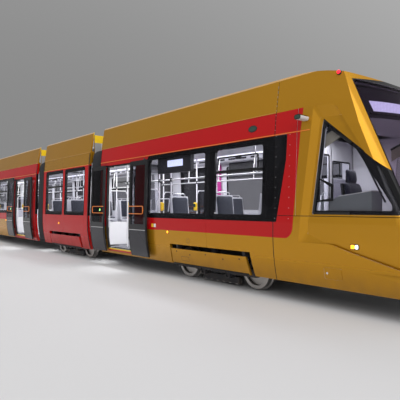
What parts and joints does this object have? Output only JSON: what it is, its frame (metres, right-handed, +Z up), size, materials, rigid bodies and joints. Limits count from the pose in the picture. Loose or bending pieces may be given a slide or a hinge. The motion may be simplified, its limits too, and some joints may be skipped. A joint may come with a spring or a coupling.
{
  "type": "articulated low-floor tram",
  "caption": "Articulated low-floor tram of cab, bogie and centre modules with sculpted noses, doors, bellows and pantograph.",
  "frame": {"origin": "middle of the tram at the bottom of the wheel flanges, 26 mm below the rail top", "axes": "+X to the front cab, +Y to the far side from the platform, +Z up"},
  "size_m": [34, 2.66, 3.3858],
  "materials": {
    "window_glass": "tinted float glass",
    "door_glass": "dark glass leaf",
    "wheel_steel": "rolled steel",
    "bogie_steel": "dark grey paint",
    "bellows_rubber": "coated fabric",
    "floor": "floor covering on welded frame",
    "side_paint": "gloss red and gold",
    "roof_paint": "gold metallic",
    "nose_paint": "gold metallic",
    "cab_plastic": "grained moulding",
    "seat_fabric": "woven",
    "seat_shell": "white shell, dark pads",
    "pantograph_metal": "painted tube"
  },
  "bodies": {
    "centre_module": {"centre_underframe": "floor", "centre_side_walls": "side_paint", "centre_roof": "roof_paint", "centre_glazing": "window_glass", "centre_doors": "door_glass", "centre_seats_and_poles": "seat_shell", "pantograph_base": "pantograph_metal", "front_inner_bellows": "bellows_rubber", "rear_inner_bellows": "bellows_rubber"},
    "front_bogie_module": {"front_middle_underframe": "floor", "front_middle_side_walls": "side_paint", "front_middle_roof": "roof_paint", "front_middle_glazing": "window_glass", "front_middle_seats_and_poles": "seat_shell", "front_middle_bogie": "bogie_steel", "front_outer_bellows": "bellows_rubber"},
    "front_cab_module": {"front_underframe": "floor", "front_side_walls": "side_paint", "front_roof": "roof_paint", "front_nose": "nose_paint", "front_glazing": "window_glass", "front_doors": "door_glass", "front_partition": "cab_plastic", "front_cab_desk": "cab_plastic", "front_driver_seat": "seat_fabric", "front_seats_and_poles": "seat_shell", "front_cab_bogie": "bogie_steel"},
    "rear_bogie_module": {"rear_middle_underframe": "floor", "rear_middle_side_walls": "side_paint", "rear_middle_roof": "roof_paint", "rear_middle_glazing": "window_glass", "rear_middle_seats_and_poles": "seat_shell", "rear_middle_bogie": "bogie_steel", "rear_outer_bellows": "bellows_rubber"},
    "rear_cab_module": {"rear_underframe": "floor", "rear_side_walls": "side_paint", "rear_roof": "roof_paint", "rear_nose": "nose_paint", "rear_glazing": "window_glass", "rear_doors": "door_glass", "rear_partition": "cab_plastic", "rear_cab_desk": "cab_plastic", "rear_driver_seat": "seat_fabric", "rear_seats_and_poles": "seat_shell", "rear_cab_bogie": "bogie_steel"},
    "wheelset_1": {"wheelset_1": "wheel_steel"},
    "wheelset_2": {"wheelset_2": "wheel_steel"},
    "wheelset_3": {"wheelset_3": "wheel_steel"},
    "wheelset_4": {"wheelset_4": "wheel_steel"},
    "wheelset_5": {"wheelset_5": "wheel_steel"},
    "wheelset_6": {"wheelset_6": "wheel_steel"},
    "wheelset_7": {"wheelset_7": "wheel_steel"},
    "wheelset_8": {"wheelset_8": "wheel_steel"},
    "pantograph_lower_arm": {"pantograph_lower_arm": "pantograph_metal"},
    "pantograph_upper_arm": {"pantograph_upper_arm": "pantograph_metal"},
    "pantograph_head": {"pantograph_head": "pantograph_metal"}
  },
  "joints": [
    {"name": "front_inner_articulation", "type": "hinge", "parent": "centre_module", "child": "front_bogie_module", "pos_m": [4.6, 0, 0.4], "axis": [0, 0, 1], "range_deg": [-20, 20], "deforming": ["front_inner_bellows"]},
    {"name": "front_outer_articulation", "type": "hinge", "parent": "front_bogie_module", "child": "front_cab_module", "pos_m": [8.4, 0, 0.4], "axis": [0, 0, 1], "range_deg": [-20, 20], "deforming": ["front_outer_bellows"]},
    {"name": "rear_inner_articulation", "type": "hinge", "parent": "centre_module", "child": "rear_bogie_module", "pos_m": [-4.6, 0, 0.4], "axis": [0, 0, 1], "range_deg": [-20, 20], "deforming": ["rear_inner_bellows"]},
    {"name": "rear_outer_articulation", "type": "hinge", "parent": "rear_bogie_module", "child": "rear_cab_module", "pos_m": [-8.4, 0, 0.4], "axis": [0, 0, 1], "range_deg": [-20, 20], "deforming": ["rear_outer_bellows"]},
    {"name": "wheelset_1_spin", "type": "hinge", "parent": "front_cab_module", "child": "wheelset_1", "pos_m": [13.61, 0, 0.321], "axis": [0, 1, 0], "continuous": true},
    {"name": "wheelset_2_spin", "type": "hinge", "parent": "front_cab_module", "child": "wheelset_2", "pos_m": [11.81, 0, 0.321], "axis": [0, 1, 0], "continuous": true},
    {"name": "wheelset_3_spin", "type": "hinge", "parent": "front_bogie_module", "child": "wheelset_3", "pos_m": [7.4, 0, 0.321], "axis": [0, 1, 0], "continuous": true},
    {"name": "wheelset_4_spin", "type": "hinge", "parent": "front_bogie_module", "child": "wheelset_4", "pos_m": [5.6, 0, 0.321], "axis": [0, 1, 0], "continuous": true},
    {"name": "wheelset_5_spin", "type": "hinge", "parent": "rear_bogie_module", "child": "wheelset_5", "pos_m": [-5.6, 0, 0.321], "axis": [0, 1, 0], "continuous": true},
    {"name": "wheelset_6_spin", "type": "hinge", "parent": "rear_bogie_module", "child": "wheelset_6", "pos_m": [-7.4, 0, 0.321], "axis": [0, 1, 0], "continuous": true},
    {"name": "wheelset_7_spin", "type": "hinge", "parent": "rear_cab_module", "child": "wheelset_7", "pos_m": [-11.81, 0, 0.321], "axis": [0, 1, 0], "continuous": true},
    {"name": "wheelset_8_spin", "type": "hinge", "parent": "rear_cab_module", "child": "wheelset_8", "pos_m": [-13.61, 0, 0.321], "axis": [0, 1, 0], "continuous": true},
    {"name": "lower_arm_raise", "type": "hinge", "parent": "centre_module", "child": "pantograph_lower_arm", "pos_m": [-0.7, 0, 3.056], "axis": [0, 1, 0], "range_deg": [0, 50]},
    {"name": "upper_arm_raise", "type": "hinge", "parent": "pantograph_lower_arm", "child": "pantograph_upper_arm", "pos_m": [-2.2, 0, 3.056], "axis": [0, -1, 0], "range_deg": [0, 100]},
    {"name": "head_level", "type": "hinge", "parent": "pantograph_upper_arm", "child": "pantograph_head", "pos_m": [-0.5, 0, 3.166], "axis": [0, 1, 0], "range_deg": [0, 50]}
  ],
  "couplings": [
    {"joint": "upper_arm_raise", "follows": "lower_arm_raise", "ratio": 2},
    {"joint": "head_level", "follows": "lower_arm_raise", "ratio": 1}
  ]
}
